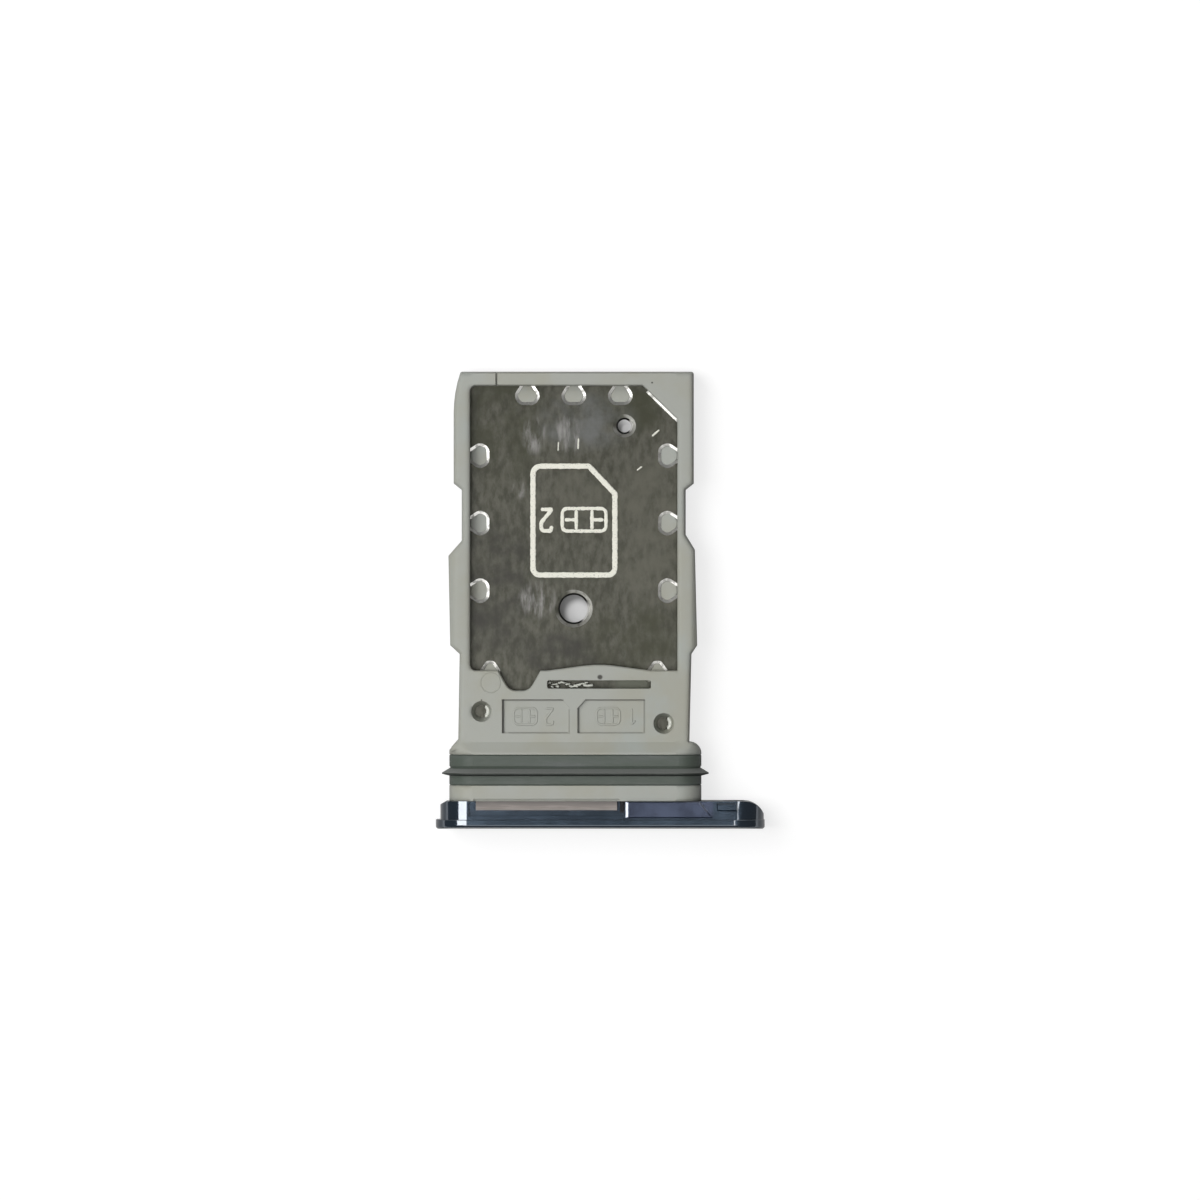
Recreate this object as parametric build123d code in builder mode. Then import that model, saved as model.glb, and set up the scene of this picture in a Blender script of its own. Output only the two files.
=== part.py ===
"""Two-sided tray that carries a pair of nano cards into a phone, lying flat.

The tray points along +Y, +X is to its right and +Z is up, out of the face that carries the two card signs.
The origin is in the middle of the tray's width and thickness, on the front of the face plate.
All sizes are in millimetres.
"""
import os
from math import atan2, degrees, hypot

from build123d import *

# Card and the pocket that it lies in, one on each face
CARD_WIDTH = 8.8
CARD_LENGTH = 12.3
CARD_THICK = 0.67
CARD_SIDE_GAP = 0.1
CARD_END_GAP = 0.035
CARD_FACE_GAP = 0.03
KEY_ACROSS = 1.5
KEY_ALONG = 1.45
KEY_TURN_RUN = 0.1
KEY_TURN_RISE = 0.03
KEY_TURN_START = 0.3
KEY_TURN_BURY = 0.15
POCKET_ROUND = 0.27
POCKET_RIM = 0.05

# Steel plate that is the floor of both pockets
PLATE_THICK = 0.2
PLATE_SIDE_GRIP = 0.2
PLATE_TIP_GRIP = 0.26
PLATE_ROOT_GRIP = 2.75
PLATE_ROUND = 0.2
EDGE_ROLL = 0.032
EDGE_ROLL_RUN = 0.12
HOLE_SLOPE = 0.11
HOLE_SLOPE_RUN = 0.1
FINGER_HOLE_RADIUS = 0.6
FINGER_HOLE_ALONG = 2.69
PILOT_HOLE_RADIUS = 0.28
PILOT_HOLE_INSET = 2.3
PILOT_HOLE_FROM_TIP = 1.74

# Cut-outs in the plate that the plastic flows through, measured from the pocket's walls
ANCHOR_MOUTH = 0.34
ANCHOR_WIDTH = 0.9
ANCHOR_SHOULDER = 0.42
ANCHOR_END = 0.58
ANCHOR_REACH = 0.71
ANCHOR_ROUND = 0.22
ANCHOR_SINK = 0.06
ANCHOR_BURY = 0.06
SIDE_ANCHOR_FROM_TIP = 3.03
SIDE_ANCHOR_PITCH = 2.935
SIDE_ANCHOR_COUNT = 3
TIP_ANCHOR_PITCH = 2.02
TIP_ANCHOR_COUNT = 3
ROOT_ANCHOR_INSET = 0.87
ROOT_ANCHOR_WIDTH = 0.62
ROOT_ANCHOR_TOP = 0.2
ROOT_ANCHOR_ROUND = 0.08
ROOT_ANCHOR_REACH = 0.3
ROOT_ANCHOR_BURY = 0.4

# Rails, measured out from the pocket's sides and along from its front wall
RAIL_WALL = 0.36
PANEL_STEP = 0.15
GUIDE_STEP = 0.5
HEAD_STEP = 0.35
GUIDE_FOOT = 0.72
GUIDE_RAMP_IN = 0.38
GUIDE_LENGTH_LEFT = 3.88
GUIDE_LENGTH_RIGHT = 4.14
GUIDE_DRAFT_LEFT = 0.08
GUIDE_DRAFT_RIGHT = -0.1
GUIDE_RAMP_OUT = 0.66
LATCH_TIP = 7.84
LATCH_RAMP = 0.28
LEAD_IN = 0.3
LEAD_IN_LENGTH = 1.8
TIP_ROUND = 0.12
RIM_RUN = 0.08
RIM_DROP = 0.2
GUIDE_BEVEL = 0.3
TIP_BAR = 0.6
TIP_SEAM_INSET = 1.15
TIP_SEAM_WIDTH = 0.08
TIP_SEAM_DEPTH = 0.2

# Fingernail notch, and the beam that grips the card's end
NAIL_INSET = 2.14
NAIL_WIDTH = 1.84
NAIL_FLOOR = 0.86
NAIL_DEPTH = 0.87
NAIL_ROUND = 0.5
BEAM_FROM_NAIL = 0.29
BEAM_LENGTH = 4.5
BEAM_THICK = 0.42
BEAM_BOW = 0.3
BEAM_BOW_RADIUS = 5.0
SLIT_WIDTH = 0.36
SLIT_ROUND = 0.08

# Closed panel between the pocket and the neck, with cups where core pins held the plate
PANEL_LENGTH = 3.1
PANEL_DRAFT_LEFT = -0.06
PANEL_DRAFT_RIGHT = 0.1
SIGN_FROM_MIDDLE = 0.17
SIGN_WIDTH = 2.92
SIGN_LENGTH = 1.46
SIGN_FROM_NECK = 0.39
SIGN_KEY_ACROSS = 0.33
SIGN_KEY_ALONG = 0.38
SIGN_DEPTH = 0.15
CORE_PIN_RADIUS = 0.45
CORE_PIN_TIP_RADIUS = 0.28
CORE_PIN_LEFT_INSET = 1.01
CORE_PIN_LEFT_ALONG = 1.33
CORE_PIN_RIGHT_INSET = 1.1
CORE_PIN_RIGHT_ALONG = 0.81

# Neck that the seal sits on, and the flare of the panel's left side into it
NECK_LENGTH = 2.56
NECK_STEP = 0.47
NECK_SHIFT = 0.07
NECK_RISE = 0.2
NECK_RAMP = 0.45
NECK_CHAMFER_LEFT = 0.35
NECK_ROUND_RIGHT = 0.5
FLARE_ACROSS = 0.3
FLARE_START = 0.13
FLARE_END = 0.21

# Rubber seal round the neck
SEAL_FROM_FACE = 0.68
SEAL_WIDTH = 1.34
SEAL_DEPTH = 0.3
SEAL_EDGE = 0.05
LIP_FROM_FRONT = 0.41
LIP_STEEP_RUN = 0.08
LIP_SLOPE_RUN = 0.22
LIP_RISE = 0.32
LIP_CREST = 0.06
CREASE_WIDTH = 0.08
CREASE_DEPTH = 0.05

# Metal face plate
FLANGE_THICK = 0.42
FLANGE_RISE = 0.36
FLANGE_CROWN_RADIUS = 10.0
FLANGE_FRONT_ROUND = 0.12
FLANGE_BACK_EDGE = 0.02
LEFT_OVERHANG = 0.59
RIGHT_OVERHANG = 2.75
BAND_THICK = 0.8
BAND_INSET = 0.2
BAND_RIGHT_INSET = 0.04
BAND_CORNER_ACROSS = 0.28
BAND_CORNER_ALONG = 0.16
END_CURVE_ACROSS = 0.9
END_CURVE_ALONG = 0.85
END_CURVE_MARGIN = 0.01
EJECT_HOLE_RADIUS = 0.5
EJECT_HOLE_SINK = 0.1
RECESS_INSET = 0.07
RECESS_LENGTH = 6.82
RECESS_DEPTH = 0.5
RECESS_FROM_FLANGE = 0.16
LAND_LENGTH = 3.79
LAND_SLANT = 0.6
LAND_RISE = 0.14
LAND_GROOVE = 0.08
LAND_EDGE = 0.05
LAND_LEFT_ROLL = 0.03
LAND_LEFT_ROLL_RUN = 0.11
END_LAND_FROM_LAND = 0.16
END_LAND_LENGTH = 0.9
END_LAND_BACK_GAP = 0.08
END_LAND_WIDTH = 0.34

# Tongues of the frame that lie in the face plate's recesses
TONGUE_LEFT_GAP = 0.33
TONGUE_RIGHT_GAP = 0.37
TONGUE_FRONT_GAP = 0.25
TONGUE_THICK = 0.3
TONGUE_GROOVE_WIDTH = 0.1
TONGUE_GROOVE_DEPTH = 0.16

# Stations along the tray
FACE_BACK = FLANGE_THICK + BAND_THICK
SEAL_FRONT = FACE_BACK + SEAL_FROM_FACE
SEAL_BACK = SEAL_FRONT + SEAL_WIDTH
NECK_BACK = FACE_BACK + NECK_LENGTH
BODY_FRONT = SEAL_BACK + (NECK_BACK - SEAL_BACK) / 4
POCKET_FRONT = NECK_BACK + PANEL_LENGTH
POCKET_LENGTH = CARD_LENGTH + 2 * CARD_END_GAP
POCKET_TIP = POCKET_FRONT + POCKET_LENGTH
TIP = POCKET_TIP + TIP_BAR

# Half widths
POCKET_HALF = CARD_WIDTH / 2 + CARD_SIDE_GAP
LATCH_HALF = POCKET_HALF + RAIL_WALL
PANEL_HALF = LATCH_HALF + PANEL_STEP
GUIDE_HALF = LATCH_HALF + GUIDE_STEP
HEAD_HALF = LATCH_HALF + HEAD_STEP
NECK_HALF = PANEL_HALF + NECK_STEP

# Places across the pocket's front wall
NAIL_ACROSS = -POCKET_HALF + NAIL_INSET
BEAM_ACROSS = NAIL_ACROSS + NAIL_WIDTH / 2 + BEAM_FROM_NAIL + BEAM_LENGTH / 2

# Heights above the middle plane, the same below it
PLATE_TOP = PLATE_THICK / 2
BODY_TOP = PLATE_TOP + CARD_THICK + CARD_FACE_GAP
NECK_TOP = BODY_TOP + NECK_RISE
FLANGE_TOP = NECK_TOP + FLANGE_RISE
BAND_TOP = FLANGE_TOP - BAND_INSET
RECESS_TOP = BAND_TOP - RECESS_DEPTH
LAND_TOP = BAND_TOP + LAND_RISE

# Places across the face plate
FACE_LEFT = NECK_SHIFT - NECK_HALF - LEFT_OVERHANG
FACE_RIGHT = NECK_SHIFT + NECK_HALF + RIGHT_OVERHANG
FACE_WIDTH = FACE_RIGHT - FACE_LEFT
BAND_LEFT = FACE_LEFT + BAND_INSET
BAND_RIGHT = FACE_RIGHT - BAND_RIGHT_INSET
EJECT_HOLE_ACROSS = FACE_RIGHT - FLANGE_TOP
RECESS_LEFT = FACE_LEFT + FLANGE_TOP + RECESS_INSET
RECESS_RIGHT = RECESS_LEFT + RECESS_LENGTH
RECESS_FRONT = FLANGE_THICK + RECESS_FROM_FLANGE
LAND_RIGHT = RECESS_RIGHT + LAND_LENGTH
LAND_FRONT = FLANGE_THICK + LAND_GROOVE
END_LAND_LEFT = LAND_RIGHT + END_LAND_FROM_LAND
TONGUE_LEFT = RECESS_LEFT + TONGUE_LEFT_GAP
TONGUE_RIGHT = RECESS_RIGHT - TONGUE_RIGHT_GAP
TONGUE_FRONT = RECESS_FRONT + TONGUE_FRONT_GAP

# Keyed corner: the place half way along its slant, turned so that its y points into the corner, and the plane
# across the slant where the plate's turned-up edge starts
KEY_RUN = hypot(KEY_ACROSS, KEY_ALONG)
KEY_PLACE = Location(
    (POCKET_HALF - KEY_ACROSS / 2, POCKET_TIP - KEY_ALONG / 2),
    -degrees(atan2(KEY_ALONG, KEY_ACROSS)),
)
KEY_SECTION = Plane(
    origin=(KEY_PLACE * Location((KEY_TURN_START - KEY_RUN / 2, 0, 0))).position,
    x_dir=(KEY_ALONG, KEY_ACROSS, 0),
    z_dir=(KEY_ACROSS, -KEY_ALONG, 0),
)

# Anchor places on the pocket's walls, turned so that their y points into the pocket
SIDE_ANCHORS = [
    Location((side * POCKET_HALF, POCKET_TIP - SIDE_ANCHOR_FROM_TIP - step * SIDE_ANCHOR_PITCH), side * 90)
    for side in (-1, 1)
    for step in range(SIDE_ANCHOR_COUNT)
]
TIP_ANCHORS = [
    Location(((step - (TIP_ANCHOR_COUNT - 1) / 2) * TIP_ANCHOR_PITCH, POCKET_TIP), 180)
    for step in range(TIP_ANCHOR_COUNT)
]
ROOT_ANCHORS = [Location((side * (POCKET_HALF - ROOT_ANCHOR_INSET), POCKET_FRONT)) for side in (-1, 1)]
UPPER_AND_LOWER = (1, -1)


def anchor_outline(bury):
    """Cut-out, narrow at the wall (y = 0) and widest half way along, run back into the wall by bury."""
    with BuildSketch(mode=Mode.PRIVATE) as outline:
        Polygon(
            (-ANCHOR_MOUTH / 2, -bury),
            (ANCHOR_MOUTH / 2, -bury),
            (ANCHOR_MOUTH / 2, 0),
            (ANCHOR_WIDTH / 2, ANCHOR_SHOULDER),
            (ANCHOR_END / 2, ANCHOR_REACH),
            (-ANCHOR_END / 2, ANCHOR_REACH),
            (-ANCHOR_WIDTH / 2, ANCHOR_SHOULDER),
            (-ANCHOR_MOUTH / 2, 0),
            align=None,
        )
        rows = outline.vertices().group_by(Axis.Y)
        fillet(rows[-1] + rows[-2], ANCHOR_ROUND)
    return outline.sketch


def root_anchor_outline():
    """Gable-shaped window at the pocket's front wall (y = 0) that runs back under the panel."""
    with BuildSketch(mode=Mode.PRIVATE) as outline:
        Polygon(
            (-ROOT_ANCHOR_WIDTH / 2, -ROOT_ANCHOR_BURY),
            (ROOT_ANCHOR_WIDTH / 2, -ROOT_ANCHOR_BURY),
            (ROOT_ANCHOR_WIDTH / 2, 0),
            (ROOT_ANCHOR_TOP / 2, ROOT_ANCHOR_REACH),
            (-ROOT_ANCHOR_TOP / 2, ROOT_ANCHOR_REACH),
            (-ROOT_ANCHOR_WIDTH / 2, 0),
            align=None,
        )
        fillet(outline.vertices().group_by(Axis.Y)[-1], ROOT_ANCHOR_ROUND)
    return outline.sketch


def rail_side(side, guide_length, guide_draft, panel_draft):
    """Corner points of one rail's outer edge, from the latch's tip end down to the guide's foot."""
    guide_start = POCKET_FRONT + GUIDE_FOOT + GUIDE_RAMP_IN
    guide_end = guide_start + guide_length
    return [
        (side * HEAD_HALF, POCKET_FRONT + LATCH_TIP + LATCH_RAMP),
        (side * LATCH_HALF, POCKET_FRONT + LATCH_TIP),
        (side * LATCH_HALF, guide_end + GUIDE_RAMP_OUT),
        (side * (GUIDE_HALF + guide_draft), guide_end),
        (side * GUIDE_HALF, guide_start),
        (side * (PANEL_HALF + panel_draft), POCKET_FRONT + GUIDE_FOOT),
    ]


# All anchors in plan, drawn once for the plate's cut-outs and for the plastic in them
with BuildSketch() as anchors:
    with Locations(*SIDE_ANCHORS):
        add(anchor_outline(PLATE_SIDE_GRIP + ANCHOR_BURY))
    with Locations(*TIP_ANCHORS):
        add(anchor_outline(PLATE_TIP_GRIP + ANCHOR_BURY))
    with Locations(*ROOT_ANCHORS):
        add(root_anchor_outline())

# Pocket in plan: keyed corner at the tip, fingernail notch and bowed beam at the front wall
with BuildSketch() as pocket:
    with Locations((0, POCKET_FRONT)):
        Rectangle(2 * POCKET_HALF, POCKET_LENGTH, align=(Align.CENTER, Align.MIN))
    fillet(pocket.vertices().group_by(Axis.X)[0], POCKET_ROUND)
    with Locations((POCKET_HALF, POCKET_TIP)):
        Polygon((0, 0), (-KEY_ACROSS, 0), (0, -KEY_ALONG), align=None, mode=Mode.SUBTRACT)
    with BuildLine():
        nail = FilletPolyline(
            (NAIL_ACROSS - NAIL_WIDTH / 2, POCKET_FRONT),
            (NAIL_ACROSS - NAIL_FLOOR / 2, POCKET_FRONT - NAIL_DEPTH),
            (NAIL_ACROSS + NAIL_FLOOR / 2, POCKET_FRONT - NAIL_DEPTH),
            (NAIL_ACROSS + NAIL_WIDTH / 2, POCKET_FRONT),
            radius=NAIL_ROUND,
        )
        Line(nail @ 1, nail @ 0)
    make_face()
    with BuildLine():
        bow = FilletPolyline(
            (BEAM_ACROSS - BEAM_LENGTH / 2, POCKET_FRONT),
            (BEAM_ACROSS, POCKET_FRONT + BEAM_BOW),
            (BEAM_ACROSS + BEAM_LENGTH / 2, POCKET_FRONT),
            radius=BEAM_BOW_RADIUS,
        )
        Line(bow @ 1, bow @ 0)
    make_face(mode=Mode.SUBTRACT)

# Steel plate: a punched blank with rolled edges on its upper face, turned up a little along the keyed corner
with BuildPart() as card_plate:
    with BuildSketch(Plane.XY.offset(-PLATE_TOP)) as blank:
        with Locations((0, POCKET_FRONT - PLATE_ROOT_GRIP)):
            Rectangle(
                2 * (POCKET_HALF + PLATE_SIDE_GRIP),
                PLATE_ROOT_GRIP + POCKET_LENGTH + PLATE_TIP_GRIP,
                align=(Align.CENTER, Align.MIN),
            )
        fillet(blank.vertices(), PLATE_ROUND)
        with Locations(KEY_PLACE * Location((0, PLATE_THICK))):
            Rectangle(2 * KEY_RUN, KEY_RUN, align=(Align.CENTER, Align.MIN), mode=Mode.SUBTRACT)
        add(anchors.sketch, mode=Mode.SUBTRACT)
        with Locations((0, POCKET_FRONT + FINGER_HOLE_ALONG)):
            Circle(FINGER_HOLE_RADIUS, mode=Mode.SUBTRACT)
        with Locations((POCKET_HALF - PILOT_HOLE_INSET, POCKET_TIP - PILOT_HOLE_FROM_TIP)):
            Circle(PILOT_HOLE_RADIUS, mode=Mode.SUBTRACT)
    extrude(amount=PLATE_THICK)
    upper_face = card_plate.faces().sort_by(Axis.Z)[-1]
    hole_edges = upper_face.edges().filter_by(lambda edge: edge.is_closed)
    chamfer(hole_edges, HOLE_SLOPE_RUN, HOLE_SLOPE, reference=upper_face)
    upper_face = card_plate.faces().sort_by(Axis.Z)[-1]
    chamfer(upper_face.edges(), EDGE_ROLL_RUN, EDGE_ROLL, reference=upper_face)
    with BuildSketch(KEY_SECTION):
        Polygon(
            (-KEY_TURN_RUN, PLATE_TOP),
            (0, PLATE_TOP + KEY_TURN_RISE),
            (PLATE_THICK, PLATE_TOP + KEY_TURN_RISE),
            (PLATE_THICK, 0),
            (-KEY_TURN_RUN, 0),
            align=None,
        )
    extrude(amount=KEY_RUN - KEY_TURN_START + KEY_TURN_BURY)
card_plate.part.label = "card_plate"

# Neck: a stadium section, trimmed in plan at its shoulders, ramped down to the panel, with the seal's groove
with BuildPart() as neck:
    with BuildSketch(Plane.XZ.offset(-FACE_BACK)):
        with Locations((NECK_SHIFT, 0)):
            SlotOverall(2 * NECK_HALF, 2 * NECK_TOP)
    extrude(amount=-NECK_LENGTH)
    with BuildSketch() as shoulders:
        with Locations((NECK_SHIFT, FACE_BACK)):
            Rectangle(2 * NECK_HALF, NECK_LENGTH, align=(Align.CENTER, Align.MIN))
        left, right = shoulders.vertices().group_by(Axis.Y)[-1].sort_by(Axis.X)
        chamfer(left, NECK_CHAMFER_LEFT)
        fillet(right, NECK_ROUND_RIGHT)
    extrude(amount=NECK_TOP, both=True, mode=Mode.INTERSECT)
    with BuildSketch(Plane.YZ):
        Polygon(
            (FACE_BACK, -NECK_TOP),
            (NECK_BACK - NECK_RAMP, -NECK_TOP),
            (NECK_BACK, -BODY_TOP),
            (NECK_BACK, BODY_TOP),
            (NECK_BACK - NECK_RAMP, NECK_TOP),
            (FACE_BACK, NECK_TOP),
            align=None,
        )
    extrude(amount=NECK_HALF + NECK_SHIFT, both=True, mode=Mode.INTERSECT)
    with BuildSketch(Plane.XZ.offset(-SEAL_FRONT)):
        with Locations((NECK_SHIFT, 0)):
            SlotOverall(2 * NECK_HALF, 2 * NECK_TOP)
            SlotOverall(2 * (NECK_HALF - SEAL_DEPTH), 2 * (NECK_TOP - SEAL_DEPTH), mode=Mode.SUBTRACT)
    extrude(amount=-SEAL_WIDTH, mode=Mode.SUBTRACT)

# Plastic frame, moulded in one shot round the plate
with BuildPart() as tray_frame:
    with BuildSketch() as body:
        with BuildLine():
            lead_start = (-HEAD_HALF, TIP - LEAD_IN_LENGTH)
            lead_end = (-HEAD_HALF + LEAD_IN, TIP)
            TangentArc(lead_start, lead_end, tangent=(0, 1))
            Polyline(
                lead_end,
                (HEAD_HALF, TIP),
                *rail_side(1, GUIDE_LENGTH_RIGHT, GUIDE_DRAFT_RIGHT, PANEL_DRAFT_RIGHT),
                (PANEL_HALF, BODY_FRONT),
                (-PANEL_HALF - FLARE_ACROSS, BODY_FRONT),
                (-PANEL_HALF - FLARE_ACROSS, NECK_BACK - FLARE_END),
                (-PANEL_HALF, NECK_BACK + FLARE_START),
                *reversed(rail_side(-1, GUIDE_LENGTH_LEFT, GUIDE_DRAFT_LEFT, PANEL_DRAFT_LEFT)),
                lead_start,
            )
        make_face()
        fillet(body.vertices().group_by(Axis.Y)[-1], TIP_ROUND)
    extrude(amount=BODY_TOP, both=True)
    for face in tray_frame.faces().filter_by(Axis.Z):
        chamfer(face.edges(), RIM_RUN, RIM_DROP, reference=face)
    with BuildSketch(Plane.XZ) as bevels:
        Rectangle(2 * (GUIDE_HALF + GUIDE_DRAFT_LEFT), 2 * BODY_TOP)
        chamfer(bevels.vertices(), GUIDE_BEVEL)
    extrude(amount=-TIP, mode=Mode.INTERSECT)

    # Pocket, right through to the plate's place, with its rims broken
    extrude(pocket.sketch, amount=BODY_TOP, both=True, mode=Mode.SUBTRACT)
    for face in tray_frame.faces().filter_by(Axis.Z):
        chamfer(face.inner_wires()[0].edges(), POCKET_RIM)

    # Slit behind the beam, and on the upper face the core pins' cups, the card signs and the tip bar's seam
    for side in UPPER_AND_LOWER:
        with BuildSketch(Plane.XY.offset(side * PLATE_TOP)):
            with Locations((BEAM_ACROSS, POCKET_FRONT - BEAM_THICK - SLIT_WIDTH / 2)):
                RectangleRounded(BEAM_LENGTH, SLIT_WIDTH, SLIT_ROUND)
        extrude(amount=side * BODY_TOP, mode=Mode.SUBTRACT)
    with Locations(
        (-PANEL_HALF + CORE_PIN_LEFT_INSET, NECK_BACK + CORE_PIN_LEFT_ALONG, PLATE_TOP),
        (PANEL_HALF - CORE_PIN_RIGHT_INSET, NECK_BACK + CORE_PIN_RIGHT_ALONG, PLATE_TOP),
    ):
        Cone(
            CORE_PIN_TIP_RADIUS,
            CORE_PIN_RADIUS,
            BODY_TOP - PLATE_TOP,
            align=(Align.CENTER, Align.CENTER, Align.MIN),
            mode=Mode.SUBTRACT,
        )
    with BuildSketch(Plane.XY.offset(BODY_TOP)):
        with Locations((0, NECK_BACK + SIGN_FROM_NECK)):
            Polygon(
                (SIGN_FROM_MIDDLE, 0),
                (SIGN_FROM_MIDDLE + SIGN_WIDTH, 0),
                (SIGN_FROM_MIDDLE + SIGN_WIDTH, SIGN_LENGTH),
                (SIGN_FROM_MIDDLE + SIGN_KEY_ACROSS, SIGN_LENGTH),
                (SIGN_FROM_MIDDLE, SIGN_LENGTH - SIGN_KEY_ALONG),
                align=None,
            )
        mirror(about=Plane.YZ)
    extrude(amount=-SIGN_DEPTH, mode=Mode.SUBTRACT)
    with BuildSketch(Plane.XY.offset(BODY_TOP)):
        with Locations((-POCKET_HALF + TIP_SEAM_INSET, POCKET_TIP)):
            Rectangle(TIP_SEAM_WIDTH, TIP_BAR, align=(Align.CENTER, Align.MIN))
    extrude(amount=-TIP_SEAM_DEPTH, mode=Mode.SUBTRACT)

    # Neck, and the tongues in front of it with a groove at their root
    add(neck.part)
    for side in UPPER_AND_LOWER:
        with BuildSketch(Plane.XY.offset(side * RECESS_TOP)):
            with Locations((TONGUE_LEFT, TONGUE_FRONT)):
                Rectangle(TONGUE_RIGHT - TONGUE_LEFT, FACE_BACK - TONGUE_FRONT, align=Align.MIN)
        extrude(amount=side * TONGUE_THICK)
        with BuildSketch(Plane.XY.offset(side * NECK_TOP)):
            with Locations((TONGUE_LEFT - TONGUE_GROOVE_WIDTH, FACE_BACK)):
                groove_length = TONGUE_RIGHT - TONGUE_LEFT + 2 * TONGUE_GROOVE_WIDTH
                Rectangle(groove_length, TONGUE_GROOVE_WIDTH, align=Align.MIN)
        extrude(amount=-side * TONGUE_GROOVE_DEPTH, mode=Mode.SUBTRACT)

    # Plastic in the anchors, a little sunk below both faces of the plate, and the plate's own place
    extrude(anchors.sketch, amount=PLATE_TOP - ANCHOR_SINK, both=True)
    add(card_plate.part, mode=Mode.SUBTRACT)
tray_frame.part.label = "tray_frame"

# Rubber seal: a flat band with one barbed lip and a crease behind it, carried round the neck's stadium
with BuildPart() as seal_ring:
    with BuildSketch(Plane.YZ.offset(NECK_SHIFT)) as seal_section:
        lip_start = SEAL_FRONT + LIP_FROM_FRONT
        lip_end = lip_start + LIP_STEEP_RUN + LIP_CREST + LIP_SLOPE_RUN
        Polygon(
            (SEAL_FRONT, NECK_TOP - SEAL_DEPTH),
            (SEAL_BACK, NECK_TOP - SEAL_DEPTH),
            (SEAL_BACK, NECK_TOP),
            (lip_end + CREASE_WIDTH, NECK_TOP),
            (lip_end, NECK_TOP - CREASE_DEPTH),
            (lip_start + LIP_STEEP_RUN + LIP_CREST, NECK_TOP + LIP_RISE),
            (lip_start + LIP_STEEP_RUN, NECK_TOP + LIP_RISE),
            (lip_start, NECK_TOP),
            (SEAL_FRONT, NECK_TOP),
            align=None,
        )
        band_top = seal_section.vertices().filter_by_position(Axis.Y, NECK_TOP, NECK_TOP)
        chamfer([band_top.sort_by(Axis.X)[0], band_top.sort_by(Axis.X)[-1]], SEAL_EDGE)
    extrude(amount=NECK_HALF - NECK_TOP, both=True)
    mirror(about=Plane.XY)
    for side in (-1, 1):
        turn_across = NECK_SHIFT + side * (NECK_HALF - NECK_TOP)
        with BuildSketch(Plane.YZ.offset(turn_across)):
            add(seal_section.sketch_local)
        revolve(axis=Axis((turn_across, 0, 0), (0, side, 0)), revolution_arc=180)
seal_ring.part.label = "seal_ring"

# Front flange of the face plate: a stadium with a gently crowned face and rounded rims
with BuildPart() as flange:
    with BuildSketch(Plane.XZ):
        with Locations(((FACE_LEFT + FACE_RIGHT) / 2, 0)):
            SlotOverall(FACE_WIDTH, 2 * FLANGE_TOP)
    extrude(amount=-FLANGE_THICK)
    with BuildSketch(Plane.YZ):
        with Locations((FLANGE_CROWN_RADIUS, 0)):
            Circle(FLANGE_CROWN_RADIUS)
    extrude(amount=FACE_WIDTH, both=True, mode=Mode.INTERSECT)
    fillet(flange.faces().sort_by(Axis.Y)[0].edges(), FLANGE_FRONT_ROUND)
    chamfer(flange.faces().sort_by(Axis.Y)[-1].edges(), FLANGE_BACK_EDGE)

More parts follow.
